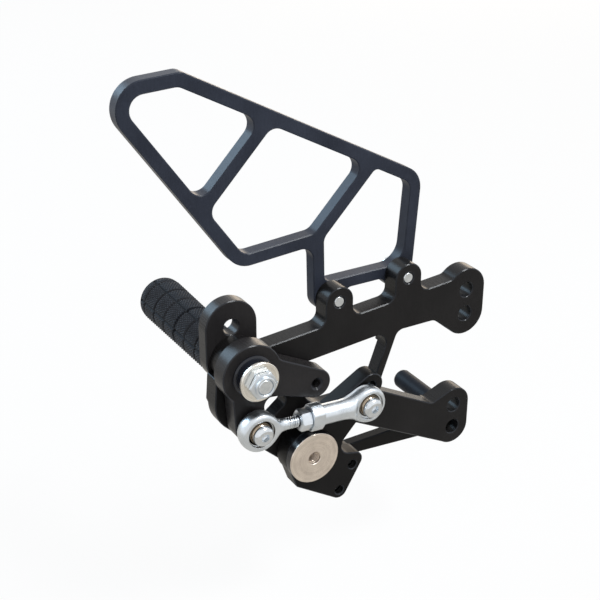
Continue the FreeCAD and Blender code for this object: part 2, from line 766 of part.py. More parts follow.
def toe_lever():
    root = ((lobe_hole_high[0] + lobe_hole_low[0]) / 2.0, (lobe_hole_high[1] + lobe_hole_low[1]) / 2.0)
    block = belt(lobe_hole_high, toe_spacer_r, lobe_hole_low, toe_spacer_r, toe_lever_front, toe_lever_back)
    blade = belt(root, toe_root_r, toe_tip, toe_tip_r, toe_lever_front, toe_lever_back)
    solid = broken_edges(block.fuse(blade).removeSplitter(), edge_break, [toe_lever_front, toe_lever_back])
    holes = [disc(hole, m6_r + bolt_gap, toe_lever_front - past, toe_lever_back + past)
             for hole in (lobe_hole_high, lobe_hole_low)]
    holes.append(disc(toe_tip, m6_r + thread_gap, toe_lever_front - past, toe_lever_back + past))
    return solid.cut(holes)


def toe_lever_screws():
    return Part.makeCompound([
        button_screw(hole, m6_r, m6_head_r, m6_head_high, m6_key, toe_lever_back, toe_screw_tip)
        for hole in (lobe_hole_high, lobe_hole_low)])


def toe_peg():
    """A smooth round peg with a softened end and a socket for its screw head."""
    end = toe_lever_back + toe_peg_long
    socket = end - toe_socket_deep
    socket_r = toe_screw_head_r + bolt_gap
    side = toe_peg_round_side
    profile = [(m6_r + bolt_gap, toe_lever_back), (toe_peg_r, toe_lever_back),
               (toe_peg_r, end - toe_peg_round), (toe_peg_r - side, end - side),
               (toe_peg_r - toe_peg_round, end), (socket_r, end), (socket_r, socket),
               (m6_r + bolt_gap, socket)]
    return turned(profile, toe_tip)


def toe_peg_screw():
    seat = toe_lever_back + toe_peg_long - toe_socket_deep
    tip = toe_lever_front + edge_break
    return button_screw(toe_tip, m6_r, toe_screw_head_r, m6_head_high, m6_key, seat, tip)


# Link rod: each piece is made along +x from the origin and laid between the two pins

rod_tilt = angle_to(bellcrank_pin, rocker_pin)
rod_long = math.dist(bellcrank_pin, rocker_pin)


def laid_on_rod(solid):
    solid.rotate(FreeCAD.Vector(0.0, 0.0, 0.0), FreeCAD.Vector(0.0, -1.0, 0.0), rod_tilt)
    solid.translate(at(bellcrank_pin, ball_y))
    return solid


def spun(profile):
    """A solid of revolution about the rod's own axis; the profile lists (distance, radius) points."""
    points = [FreeCAD.Vector(distance, 0.0, radius) for distance, radius in profile]
    face = Part.Face(Part.makePolygon(points + points[:1]))
    return face.revolve(FreeCAD.Vector(0.0, 0.0, 0.0), FreeCAD.Vector(1.0, 0.0, 0.0), 360.0)


def rod_bore(start, end):
    """The tapped hole along the rod's own axis."""
    reach = FreeCAD.Vector(start, 0.0, 0.0)
    return Part.makeCylinder(m6_r + thread_gap, end - start, reach, FreeCAD.Vector(1.0, 0.0, 0.0))


def rod_hexagon(flats, start, thick):
    corner_r = flats / math.sqrt(3.0)
    points = [FreeCAD.Vector(start, corner_r * math.sin(math.radians(60.0 * step)),
                             corner_r * math.cos(math.radians(60.0 * step))) for step in range(7)]
    solid = Part.Face(Part.makePolygon(points)).extrude(FreeCAD.Vector(thick, 0.0, 0.0))
    end = start + thick
    rounding = spun([(start, 0.0), (start, corner_r - edge_break), (start + edge_break, corner_r),
                     (end - edge_break, corner_r), (end, corner_r - edge_break), (end, 0.0)])
    return solid.common(rounding)


def rod_eye(distance, seat_gap):
    """The ring of a rod end with its spherical seat."""
    half = eye_wide / 2.0
    rim = 2.0 * edge_break
    body = turned([(0.0, -half), (eye_r - rim, -half), (eye_r, -half + rim), (eye_r, half - rim),
                   (eye_r - rim, half), (0.0, half)], (distance, 0.0))
    return body, Part.makeSphere(ball_r + seat_gap, FreeCAD.Vector(distance, 0.0, 0.0))


def male_rod_end():
    eye, seat = rod_eye(0.0, open_end_gap)
    neck = eye_r - rod_neck_inset
    shank = spun([(neck, 0.0), (neck, male_neck_r), (neck + male_neck_long, m6_r),
                  (male_long - edge_break, m6_r), (male_long, m6_r - edge_break), (male_long, 0.0)])
    return laid_on_rod(eye.fuse(shank).cut(seat))


def female_rod_end():
    eye, seat = rod_eye(rod_long, rod_gap)
    mouth = rod_long - female_long
    neck = rod_long - eye_r + rod_neck_inset
    shank = spun([(mouth, 0.0), (mouth, rod_core_r), (neck - rod_neck_long, rod_core_r), (neck, rod_neck_r),
                  (neck, 0.0)])
    collar = rod_hexagon(collar_flats, mouth, collar_thick)
    bore = rod_bore(mouth - past, male_long + rod_bore_spare)
    return laid_on_rod(eye.fuse([shank, collar]).cut([seat, bore]))


def rod_jam_nut():
    end = rod_long - female_long
    start = end - jam_nut_thick
    body = rod_hexagon(jam_nut_flats, start, jam_nut_thick)
    return laid_on_rod(body.cut(rod_bore(start - past, end + past)))


def rod_ball(pin):
    half = ball_wide / 2.0
    ball = Part.makeSphere(ball_r, at(pin, ball_y))
    slab = disc(pin, ball_r + past, ball_y - half, ball_y + half)
    return ball.common(slab).cut(disc(pin, m6_r + thread_gap, ball_y - half - past, ball_y + half + past))


def rod_washer(pin):
    return ring(pin, rod_washer_r, m6_r + thread_gap, lever_front - rod_washer_thick, lever_front)


def rod_bolt(pin):
    seat = ball_y - ball_wide / 2.0
    return button_screw(pin, m6_r, m6_head_r, m6_head_high, m6_key, seat, lever_back - edge_break)


# Every node, with its shape

nodes = {
    "main_bracket": main_bracket(),
    "heel_guard": heel_guard(),
    "heel_guard_screws": heel_guard_screws(),
    "peg_mount_plate": peg_mount_plate(),
    "footpeg": footpeg(),
    "footpeg_bolt": footpeg_bolt(),
    "hub_sleeve": hub_sleeve(),
    "hub_thrust_washer": hub_thrust_washer(),
    "hub_collar": hub_collar(),
    "hub_washer": hub_washer(),
    "hub_nut": hub_nut(),
    "pivot_pin": pivot_pin(),
    "pivot_thrust_washer": pivot_thrust_washer(),
    "pivot_screw_washer": pivot_screw_washer(),
    "pivot_screw": pivot_screw(),
    "bellcrank": bellcrank(),
    "bellcrank_bush": bellcrank_bush(),
    "bellcrank_rod_ball": rod_ball(bellcrank_pin),
    "bellcrank_rod_bolt": rod_bolt(bellcrank_pin),
    "bellcrank_rod_washer": rod_washer(bellcrank_pin),
    "male_rod_end": male_rod_end(),
    "rod_jam_nut": rod_jam_nut(),
    "female_rod_end": female_rod_end(),
    "rocker": rocker(),
    "rocker_bush": rocker_bush(),
    "rocker_rod_ball": rod_ball(rocker_pin),
    "rocker_rod_bolt": rod_bolt(rocker_pin),
    "rocker_rod_washer": rod_washer(rocker_pin),
    "toe_spacer": toe_spacer(),
    "toe_lever": toe_lever(),
    "toe_lever_screws": toe_lever_screws(),
    "toe_peg": toe_peg(),
    "toe_peg_screw": toe_peg_screw(),
}

os.makedirs("parts", exist_ok=True)
to_origin = FreeCAD.Vector(-upper_hole[0], -plate_thick / 2.0, -upper_hole[1])
for name, shape in nodes.items():
    shape.translate(to_origin)
    shape.exportStep("parts/" + name + ".step")
    state = "valid" if shape.isValid() else "INVALID"
    print(name, len(shape.Solids), "solid", round(shape.Volume, 1), "mm3", state)
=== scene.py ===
# %% [markdown]
# # A left-hand footrest set in black anodised aluminium
# Two milled plates, a knurled footpeg and a small gear shift linkage hang on the side of a motorcycle.
# The solids come from CAD and are already right, so this notebook gives them their finishes and adds the
# fine work that a solid leaves out: the knurl of the footpeg, the flow of the rod ends, the heads of two
# bolts, two nuts and the threads. Everything is in metres, in the frame of the CAD: X forward, Y outboard,
# Z up, with the origin in the upper frame bolt hole.

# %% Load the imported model
import math

import bpy
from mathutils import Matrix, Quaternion, Vector

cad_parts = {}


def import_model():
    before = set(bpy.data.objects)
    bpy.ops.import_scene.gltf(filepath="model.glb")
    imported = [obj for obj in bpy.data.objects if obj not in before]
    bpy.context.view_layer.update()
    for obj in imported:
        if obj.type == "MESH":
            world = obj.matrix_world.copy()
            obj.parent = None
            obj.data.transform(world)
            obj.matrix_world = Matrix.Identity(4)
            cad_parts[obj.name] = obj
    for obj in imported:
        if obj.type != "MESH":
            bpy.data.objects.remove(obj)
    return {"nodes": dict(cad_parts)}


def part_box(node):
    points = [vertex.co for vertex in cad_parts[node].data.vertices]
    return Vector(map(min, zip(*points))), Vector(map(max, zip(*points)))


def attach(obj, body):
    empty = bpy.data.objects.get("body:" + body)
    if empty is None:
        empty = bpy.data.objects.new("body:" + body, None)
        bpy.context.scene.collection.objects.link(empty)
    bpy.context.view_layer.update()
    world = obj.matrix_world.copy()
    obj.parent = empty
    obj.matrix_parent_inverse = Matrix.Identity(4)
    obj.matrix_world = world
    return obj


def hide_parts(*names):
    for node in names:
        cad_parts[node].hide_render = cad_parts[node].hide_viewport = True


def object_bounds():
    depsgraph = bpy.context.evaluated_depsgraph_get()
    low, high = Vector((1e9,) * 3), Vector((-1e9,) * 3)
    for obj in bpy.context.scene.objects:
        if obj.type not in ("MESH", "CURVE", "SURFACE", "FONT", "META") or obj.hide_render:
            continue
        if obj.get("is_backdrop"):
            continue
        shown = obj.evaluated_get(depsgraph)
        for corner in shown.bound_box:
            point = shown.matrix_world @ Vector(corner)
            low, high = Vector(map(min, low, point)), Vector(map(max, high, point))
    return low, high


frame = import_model()
cad_low, cad_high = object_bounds()
MM = 0.001

# %% [markdown]
# ## Where things are
# The frame says where each node is, so no position is typed twice. A round piece that turns about an axis
# along Y has that axis in the middle of its box, and the link rod runs from the middle of one ball to the
# middle of the other.

# %% Axes and centres
def middle(node):
    """The centre of a node's box."""
    low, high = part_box(node)
    return (low + high) / 2


outboard = Vector((0.0, 1.0, 0.0))
hub_axis = middle("hub_sleeve")
peg_axis = middle("footpeg")
pin_axis = middle("pivot_pin")
toe_axis = middle("toe_peg")
rod_start = middle("bellcrank_rod_ball")
rod_end = middle("rocker_rod_ball")
rod_run = (rod_end - rod_start).normalized()
for label, place in (("hub", hub_axis), ("footpeg", peg_axis), ("pivot", pin_axis), ("toe peg", toe_axis)):
    print(label, "axis at x", round(place.x / MM, 1), "z", round(place.z / MM, 1), "mm")

# %% [markdown]
# ## A small language for node trees
# Blender's materials and its Geometry Nodes are both graphs of nodes. Wiring them one link at a time is
# hard to read, so two small classes do it. A Board adds a node: its settings first, because they decide
# which sockets it has, and then the values or links of its sockets. A Signal is the output of a node, and
# arithmetic on signals adds Math nodes, so that 1 - mask is written just like that.

# %% Boards and signals
def named(sockets, name):
    """The socket of a name, out of those that the node's settings leave in use."""
    return next(socket for socket in sockets if socket.name == name and socket.enabled)


class Signal:
    """The output of a node."""

    def __init__(self, board, socket):
        self.board = board
        self.socket = socket

    def out(self, name):
        """Another output of the same node."""
        return Signal(self.board, named(self.socket.node.outputs, name))

    def math(self, operation, first, second=0.0, third=0.0):
        inputs = {0: first, 1: second, 2: third}
        return self.board.node("ShaderNodeMath", {"operation": operation}, inputs)

    def __add__(self, other):
        return self.math("ADD", self, other)

    def __sub__(self, other):
        return self.math("SUBTRACT", self, other)

    def __mul__(self, other):
        return self.math("MULTIPLY", self, other)

    def __truediv__(self, other):
        return self.math("DIVIDE", self, other)

    def __rsub__(self, other):
        return self.math("SUBTRACT", other, self)

    def __rtruediv__(self, other):
        return self.math("DIVIDE", other, self)

    def __abs__(self):
        return self.math("ABSOLUTE", self)

    __radd__ = __add__
    __rmul__ = __mul__

    def root(self):
        return self.math("SQRT", self)

    def least(self, other):
        return self.math("MINIMUM", self, other)

    def most(self, other):
        return self.math("MAXIMUM", self, other)

    def clamped(self):
        return self.least(1.0).most(0.0)

    def wave(self, reach):
        """Rises from 0 to reach and falls back, over and over."""
        return self.math("PINGPONG", self, reach)

    def ramp(self, low, high):
        """0 below low, 1 above high, and a straight rise between them."""
        return ((self - low) / (high - low)).clamped()

    def spread(self):
        """Noise keeps near one half, and this spreads it from 0 to 1."""
        return self.ramp(0.3, 0.7)

    def swing(self, amount):
        """Noise as a swing about 0, amount wide from end to end."""
        return (self - 0.5) * amount

    def joined(self, other, soft):
        """The distance to two shapes that are joined with a soft fillet."""
        return self.math("SMOOTH_MIN", self, other, soft)

    def cut(self, other, soft):
        """The distance to what two shapes share, with a soft edge where one cuts the other."""
        return self.math("SMOOTH_MAX", self, other, soft)


class Board:
    """A node tree that is being wired."""

    def __init__(self, tree):
        self.tree = tree

    def node(self, kind, settings=None, inputs=None):
        made = self.tree.nodes.new(kind)
        for name, value in (settings or {}).items():
            setattr(made, name, value)
        for key, value in (inputs or {}).items():
            socket = named(made.inputs, key) if isinstance(key, str) else made.inputs[key]
            if isinstance(value, Signal):
                self.tree.links.new(value.socket, socket)
            else:
                socket.default_value = value
        shown = [socket for socket in made.outputs if socket.enabled]
        return Signal(self, shown[0]) if shown else None

    def mix(self, factor, first, second):
        """A colour between two colours."""
        return self.node("ShaderNodeMix", {"data_type": "RGBA"}, {0: factor, 6: first, 7: second})

    def noise(self, place, size, detail=2.0, rough=0.5):
        """Noise whose blobs are about size metres across."""
        inputs = {"Vector": place, "Scale": 1.0 / size, "Detail": detail, "Roughness": rough}
        return self.node("ShaderNodeTexNoise", {"noise_dimensions": "3D"}, inputs)

    def parts(self, vector):
        """The x, y and z of a vector."""
        split = self.node("ShaderNodeSeparateXYZ", {}, {0: vector})
        return split, split.out("Y"), split.out("Z")


print("Board and Signal are ready")

# %% [markdown]
# ## Finishes
# Every finish reads Object coordinates, which are metres in the CAD frame, so the grain has its real size
# and stays put on a piece when it moves. A finish is a function that wires one material, and what it
# varies is the colour, the roughness and a very small bump.

# %% Material helpers
def rgb(red, green, blue):
    return (red, green, blue, 1.0)


def start_finish(name):
    """A new material and its empty board."""
    material = bpy.data.materials.new(name)
    material.use_nodes = True
    board = Board(material.node_tree)
    board.tree.nodes.clear()
    return material, board


def coordinates(board):
    """The place on the piece in Object coordinates, and the direction that the surface faces."""
    texture = board.node("ShaderNodeTexCoord")
    return texture.out("Object"), texture.out("Normal")


def end_finish(board, **sockets):
    """Ends a finish with its shader; the keyword Base_Color stands for the socket Base Color."""
    values = {key.replace("_", " "): value for key, value in sockets.items()}
    shader = board.node("ShaderNodeBsdfPrincipled", {}, values)
    board.node("ShaderNodeOutputMaterial", {}, {"Surface": shader})


def bump(board, height, depth):
    """A bump whose height signal runs from 0 to 1 over depth metres."""
    return board.node("ShaderNodeBump", {}, {"Strength": 1.0, "Distance": depth, "Height": height})


print("A finish starts with start_finish and ends with end_finish")

# %% [markdown]
# ## Black anodised aluminium
# The plates are milled from aluminium and anodised black. Up close the face has a fine grain and faint
# streaks along the cutter's path, and the broken edges are glossier, because the chamfer cutter leaves
# them smooth; their colour is also painted lighter and bluer, a painted highlight. The plates lie in the
# XZ plane, so a chamfer is found by its normal: it leans halfway between a face, whose normal is along Y,
# and a side band, whose normal has no Y. The four blacks are one black at different levels: the plate
# black is a lighter copy, a painted sheen, the rocker black is darker, and the blasted black is lighter
# and bluer, a painted blue light, besides its coarser grain and rougher surface.

# %% Anodised finish
streak_shape = (1.0, 0.04, 0.08)
chamfer_normal = math.sqrt(0.5)
chamfer_reach = 0.16
# A lighter, bluer colour painted on the chamfers: a painted highlight.
chamfer_highlight = rgb(0.16, 0.18, 0.22)


def anodised(name, dark, light, roughness, grain, shine, coat):
    """A plate's finish: shine paints a highlight on its chamfers by lightening their colour, and coat
    glosses its side bands.
    """
    material, board = start_finish(name)
    place, normal = coordinates(board)
    cloud = board.noise(place, size=22 * MM)
    speckle = board.noise(place, size=grain, detail=3.0, rough=0.65)
    stretched = board.node("ShaderNodeMapping", {}, {"Vector": place, "Scale": streak_shape})
    streak = board.noise(stretched, size=0.35 * MM, detail=1.0)
    across = abs(board.parts(normal)[1])
    chamfer = (1.0 - abs(across - chamfer_normal) / chamfer_reach).clamped()
    band = 1.0 - across.ramp(0.1, 0.5)
    tone = (cloud * 0.45 + speckle * 0.35 + streak * 0.2).spread()
    colour = board.mix(tone, dark, light)
    # The chamfers' colour is painted lighter by shine: a painted highlight.
    colour = board.mix(chamfer * shine, colour, chamfer_highlight)
    rough = roughness + speckle.swing(0.16) + streak.swing(0.1) - chamfer * 0.2 - band * 0.08
    height = speckle * 0.7 + streak * 0.3
    end_finish(board, Base_Color=colour, Roughness=rough, Specular_IOR_Level=0.12, Coat_Weight=band * coat,
               Coat_Roughness=0.3, Normal=bump(board, height, 0.012 * MM))
    return material


milled_black = anodised("milled_black", rgb(0.0085, 0.0080, 0.0082), rgb(0.0190, 0.0176, 0.0178),
                        roughness=0.36, grain=0.45 * MM, shine=0.12, coat=0.12)
# A lighter copy of the milled black: a painted sheen.
plate_black = anodised("plate_black", rgb(0.0160, 0.0150, 0.0158), rgb(0.0350, 0.0322, 0.0326),
                       roughness=0.36, grain=0.45 * MM, shine=0.12, coat=0.22)
# A darker copy of the milled black.
rocker_black = anodised("rocker_black", rgb(0.0052, 0.0050, 0.0053), rgb(0.0112, 0.0105, 0.0106),
                        roughness=0.42, grain=0.45 * MM, shine=0.16, coat=0.0)
# Lighter and bluer than the milled black, a painted blue light, besides its blasted grain and rougher
# surface.
blasted_black = anodised("blasted_black", rgb(0.0170, 0.0205, 0.0320), rgb(0.0400, 0.0470, 0.0680),
                         roughness=0.46, grain=0.55 * MM, shine=0.08, coat=0.15)
print("black finishes:", milled_black.name, plate_black.name, rocker_black.name, blasted_black.name)

# %% [markdown]
# ## Turned black pieces
# The collar under the hub washer and the toe peg are turned on a lathe before they are anodised, so fine
# rings run round their axis. Noise of the distance from the axis and of the way along it makes the rings,
# because it is the same all the way round.

# %% Turned black finish
def rings_about(board, place, axis, size, detail, rough=0.5):
    """Noise in rings about an axis along Y, the distance from that axis and the way along it."""
    x, y, z = board.parts(place)
    away = ((x - axis.x) * (x - axis.x) + (z - axis.z) * (z - axis.z)).root()
    same_all_round = board.node("ShaderNodeCombineXYZ", {}, {0: away, 1: y})
    return board.noise(same_all_round, size, detail, rough), away, y


def turned_black(name, axis, dark, roughness, shine, coat):
    """A turned piece's finish: shine is its plain reflection, and coat adds gloss."""
    material, board = start_finish(name)
    place = coordinates(board)[0]
    rings = rings_about(board, place, axis, size=0.25 * MM, detail=2.0)[0]
    cloud = board.noise(place, size=8 * MM)
    colour = board.mix(cloud, dark, rgb(dark[0] * 2.2, dark[1] * 2.2, dark[2] * 2.4))
    rough = roughness + rings.swing(0.2)
    end_finish(board, Base_Color=colour, Roughness=rough, Specular_IOR_Level=shine, Coat_Weight=coat,
               Coat_Roughness=0.12, Normal=bump(board, rings, 0.006 * MM))
    return material


collar_black = turned_black("collar_black", hub_axis, rgb(0.010, 0.0115, 0.016),
                            roughness=0.20, shine=0.2, coat=0.5)
toe_peg_black = turned_black("toe_peg_black", toe_axis, rgb(0.006, 0.008, 0.011),
                             roughness=0.42, shine=0.09, coat=0.0)
print("turned finishes:", collar_black.name, toe_peg_black.name)

# %% [markdown]
# ## Bright metals
# The rod ends, nuts and bolts are zinc plated: a bluish white metal, a little cloudy. The balls of the rod
# ends are polished, and their steel is painted darker and browner, a painted reflection. The washer under
# the hub nut and the head of the pivot pin are turned steel, whose rings draw the light out into a sheen
# that fans from the centre. The pin's head is bright on its face and in its threaded hole, and painted dark
# round its side, a painted reflection of the dark parts around it: the dark paint starts a little behind
# the face, and only further from the axis than the hole reaches. The washer stays bright, because its
# dark paint would start at its back.

# %% Metal finishes
pin_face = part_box("pivot_pin")[0].y + 0.6 * MM
washer_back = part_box("hub_washer")[1].y
side_radius = 11.0 * MM
side_fade = 0.5 * MM
dark_reflection_fade = 0.1 * MM
side_dark_reflection = rgb(0.012, 0.013, 0.018)


def plated(name, dark, light, roughness, cloud_size, depth):
    material, board = start_finish(name)
    place = coordinates(board)[0]
    cloud = board.noise(place, size=cloud_size, detail=3.0, rough=0.6)
    fine = board.noise(place, size=0.3 * MM)
    colour = board.mix((cloud * 0.75 + fine * 0.25).spread(), dark, light)
    rough = roughness + cloud.swing(0.18) + fine.swing(0.08)
    end_finish(board, Base_Color=colour, Roughness=rough, Metallic=1.0, Normal=bump(board, fine, depth))
    return material


def turned_steel(name, axis, dark, light, roughness, dark_reflection_from):
    """Turned steel whose side, outboard of the given y, is painted dark: a painted reflection."""
    material, board = start_finish(name)
    place = coordinates(board)[0]
    lines, away, y = rings_about(board, place, axis, size=0.16 * MM, detail=3.0, rough=0.7)
    cloud = board.noise(place, size=5 * MM)
    colour = board.mix((lines * 0.7 + cloud * 0.3).spread(), dark, light)
    rough = roughness + lines.swing(0.25)
    # Round the side, outboard of the given y, the colour is painted dark and the metal turned off: a painted
    # reflection of the dark parts around it.
    beside = away.ramp(side_radius, side_radius + side_fade)
    bright = 1.0 - y.ramp(dark_reflection_from, dark_reflection_from + dark_reflection_fade) * beside
    colour = board.mix(bright, side_dark_reflection, colour)
    end_finish(board, Base_Color=colour, Roughness=rough, Metallic=bright,
               Normal=bump(board, lines, 0.008 * MM))
    return material


zinc = plated("zinc", rgb(0.60, 0.65, 0.70), rgb(0.78, 0.83, 0.88),
              roughness=0.30, cloud_size=6.0 * MM, depth=0.002 * MM)
bolt_steel = plated("bolt_steel", rgb(0.60, 0.64, 0.68), rgb(0.82, 0.86, 0.90),
                    roughness=0.14, cloud_size=2.5 * MM, depth=0.002 * MM)
# The ball steel is painted darker and browner than polished steel: a painted reflection.
ball_steel_painted_reflection = plated("ball_steel_painted_reflection", rgb(0.30, 0.24, 0.18), rgb(0.46, 0.38, 0.29),
                    roughness=0.12, cloud_size=2.5 * MM, depth=0.001 * MM)
bush_bronze = plated("bush_bronze", rgb(0.36, 0.22, 0.10), rgb(0.58, 0.38, 0.18),
                     roughness=0.35, cloud_size=2.0 * MM, depth=0.004 * MM)
pin_steel = turned_steel("pin_steel", pin_axis, rgb(0.52, 0.46, 0.41), rgb(0.98, 0.88, 0.78),
                         roughness=0.30, dark_reflection_from=pin_face)
washer_steel = turned_steel("washer_steel", hub_axis, rgb(0.70, 0.67, 0.61), rgb(1.0, 0.97, 0.90),
                            roughness=0.26, dark_reflection_from=washer_back)
print("metal finishes:", zinc.name, bolt_steel.name, ball_steel_painted_reflection.name, pin_steel.name, washer_steel.name)

# %% [markdown]
# ## Dress the CAD nodes
# A node whose shape is right keeps its mesh and only changes its material. Going through the nodes by
# finish shows at a glance what is made of what. The nodes that are left get a new piece further on.

# %% Nodes by finish
worn_by = {
    milled_black: ["main_bracket"],
    plate_black: ["peg_mount_plate", "bellcrank"],
    rocker_black: ["rocker", "toe_lever", "toe_spacer"],
    blasted_black: ["heel_guard"],
    collar_black: ["hub_collar"],
    toe_peg_black: ["toe_peg"],
    bolt_steel: ["heel_guard_screws", "toe_lever_screws", "toe_peg_screw", "pivot_screw", "footpeg_bolt",
                 "pivot_screw_washer", "bellcrank_rod_washer", "rocker_rod_washer"],
    ball_steel_painted_reflection: ["bellcrank_rod_ball", "rocker_rod_ball", "hub_sleeve"],
    pin_steel: ["pivot_pin"],
    washer_steel: ["hub_washer"],
    bush_bronze: ["bellcrank_bush", "rocker_bush", "hub_thrust_washer", "pivot_thrust_washer"],
}
for finish, names in worn_by.items():
    for name in names:
        for worn in frame["nodes"][name].material_slots:
            worn.material = finish
dressed = {name for names in worn_by.values() for name in names}
print("left for new pieces:", sorted(set(frame["nodes"]) - dressed))

# %% [markdown]
# ## From a modifier to a plain mesh
# Geometry Nodes run as a modifier. The result is read from the evaluated object into a plain mesh, and the
# modifier goes away, so that the piece holds just what was made. A modifier's input is set by the
# identifier of its socket, because its name is only a label.

# %% Geometry Nodes helpers
def new_tree(name, vectors, numbers):
    """A geometry tree with named vector and number inputs, and a material to paint its result with."""
    tree = bpy.data.node_groups.new(name, "GeometryNodeTree")
    tree.interface.new_socket("Geometry", in_out="INPUT", socket_type="NodeSocketGeometry")
    for label in vectors:
        tree.interface.new_socket(label, in_out="INPUT", socket_type="NodeSocketVector")
    for label in numbers:
        tree.interface.new_socket(label, in_out="INPUT", socket_type="NodeSocketFloat")
    tree.interface.new_socket("Material", in_out="INPUT", socket_type="NodeSocketMaterial")
    tree.interface.new_socket("Geometry", in_out="OUTPUT", socket_type="NodeSocketGeometry")
    board = Board(tree)
    return tree, board, board.node("NodeGroupInput")


def end_tree(board, geometry, material):
    """Ends a tree: real geometry with its material."""
    whole = board.node("GeometryNodeRealizeInstances", {}, {"Geometry": geometry})
    painted = board.node("GeometryNodeSetMaterial", {}, {"Geometry": whole, "Material": material})
    board.node("NodeGroupOutput", {}, {"Geometry": painted})


def run_tree(name, vertices, faces, tree, values, marks=None):
    """A new object made by a tree from a starting mesh; marks are point attributes of that mesh."""
    mesh = bpy.data.meshes.new(name + "_start")
    mesh.from_pydata(vertices, [], faces)
    for label, numbers in (marks or {}).items():
        mesh.attributes.new(label, "FLOAT", "POINT").data.foreach_set("value", numbers)
    piece = bpy.data.objects.new(name, mesh)
    bpy.context.scene.collection.objects.link(piece)
    modifier = piece.modifiers.new("making", "NODES")
    modifier.node_group = tree
    for item in tree.interface.items_tree:
        if item.in_out == "INPUT" and item.name in values:
            modifier[item.identifier] = values[item.name]
    bpy.context.view_layer.update()
    made = bpy.data.meshes.new_from_object(piece.evaluated_get(bpy.context.evaluated_depsgraph_get()))
    piece.modifiers.remove(modifier)
    piece.data = made
    print(name, len(made.vertices), "points,", len(made.polygons), "faces")
    return piece


print("a tree starts with new_tree, ends with end_tree and is run by run_tree")

# %% [markdown]
# ## From rows of points to a skin
# A turned piece is a stack of rings, each a row of points round the axis. Four-sided faces join each row
# to the next one, and a skin that goes back through a bore also joins its last row to its first.

# %% Faces between rows
def join_rows(rows, count, closed):
    """The faces between rows of count points each; a closed stack also joins its last row to its first."""
    faces = []
    for row in range(rows if closed else rows - 1):
        near = row * count
        far = (row + 1) % rows * count
        for index in range(count):
            beside = (index + 1) % count
            faces.append((near + index, far + index, far + beside, near + beside))
    return faces


print("three closed rows of four points have", len(join_rows(3, 4, True)), "faces")

# %% [markdown]
# ## The footpeg's grip
# The grip is a turned bar, a little thicker at its outer end. Ring grooves and flutes cut it into blocks,
# and a diamond knurl covers the blocks so that a boot holds on it. The bar is a stack of circles joined
# into a closed skin, which runs through the bore and back, so it has no poles. The stack is even, four
# steps to a knurl tooth, so that every tooth's tip and every groove of the knurl falls on a point.

# %% Sizes of the grip
peg_low, peg_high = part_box("footpeg")
grip_long = peg_high.y - peg_low.y
tooth_count = 48
tooth_steps = 4
tooth_long = 2.2 * MM
tooth_deep = 0.5 * MM
ring_first = 8.5 * MM
ring_pitch = 11.8 * MM
groove_half = 0.75 * MM
groove_deep = 0.7 * MM
slot_ring = 2
slot_deep = 1.7 * MM
flute_count = 6
flute_turn = 48.0 / 360.0
tip_radius = (peg_high.x - peg_low.x) / 2 - tooth_deep
root_radius = tip_radius - 1.35 * MM
inner_bevel = 0.5 * MM
end_round = 1.8 * MM
end_steps = 5
bore_radius = 4.1 * MM
socket_radius = 7.3 * MM
socket_deep = 9.5 * MM
least_share = 0.001
around = tooth_steps * tooth_count
print("grip", round(grip_long / MM, 1), "mm long with", tooth_count, "teeth around")


# %% Circles of the grip
def grip_circles():
    """(axis, radius, y, share of knurl) of each circle, along the skin."""
    step = tooth_long / tooth_steps
    count = int((grip_long - end_round) / step)
    circles = [(hub_axis, bore_radius, peg_low.y, 0.0),
               (peg_axis, root_radius - inner_bevel, peg_low.y, 0.0)]
    for index in range(1, count + 1):
        shoulder_radius = root_radius + (tip_radius - root_radius) * (index * step / grip_long)
        shoulder_y = peg_low.y + index * step
        inside = min(1.0, (index - 1) / tooth_steps, (count - index) / tooth_steps)
        circles.append((peg_axis, shoulder_radius, shoulder_y, max(inside, least_share)))
    for index in range(1, end_steps + 1):
        turn = math.radians(90.0 * index / end_steps)
        radius = shoulder_radius - end_round * (1 - math.cos(turn))
        circles.append((peg_axis, radius, shoulder_y + (peg_high.y - shoulder_y) * math.sin(turn), 0.0))
    socket_floor = peg_high.y - socket_deep
    circles += [(hub_axis, socket_radius, peg_high.y, 0.0), (hub_axis, socket_radius, socket_floor, 0.0),
                (hub_axis, bore_radius, socket_floor, 0.0)]
    return circles


def skin(circles):
    """The points of the circles, the faces between neighbours, and each point's share of knurl."""
    points = []
    shares = []
    for axis, radius, y, share in circles:
        for index in range(around):
            turn = 2 * math.pi * index / around
            points.append((axis.x + radius * math.cos(turn), y, axis.z + radius * math.sin(turn)))
            shares.append(share)
    return points, join_rows(len(circles), around, True), shares


grip_points, grip_faces, grip_shares = skin(grip_circles())
print("grip skin of", len(grip_points), "points")

# %% [markdown]
# ## Cutting the knurl
# A knurling tool rolls two sets of slanted grooves over the bar. In the tree, the turn about the axis and
# the way along it are both counted in teeth; their sum and their difference count the two sets of
# grooves. The height of the surface is the lesser distance to a groove, which gives the small pyramids.
# The ring grooves and flutes push the surface in, also on the rows at both ends that have only the least
# share of knurl, and the height of the teeth is stored for the material.

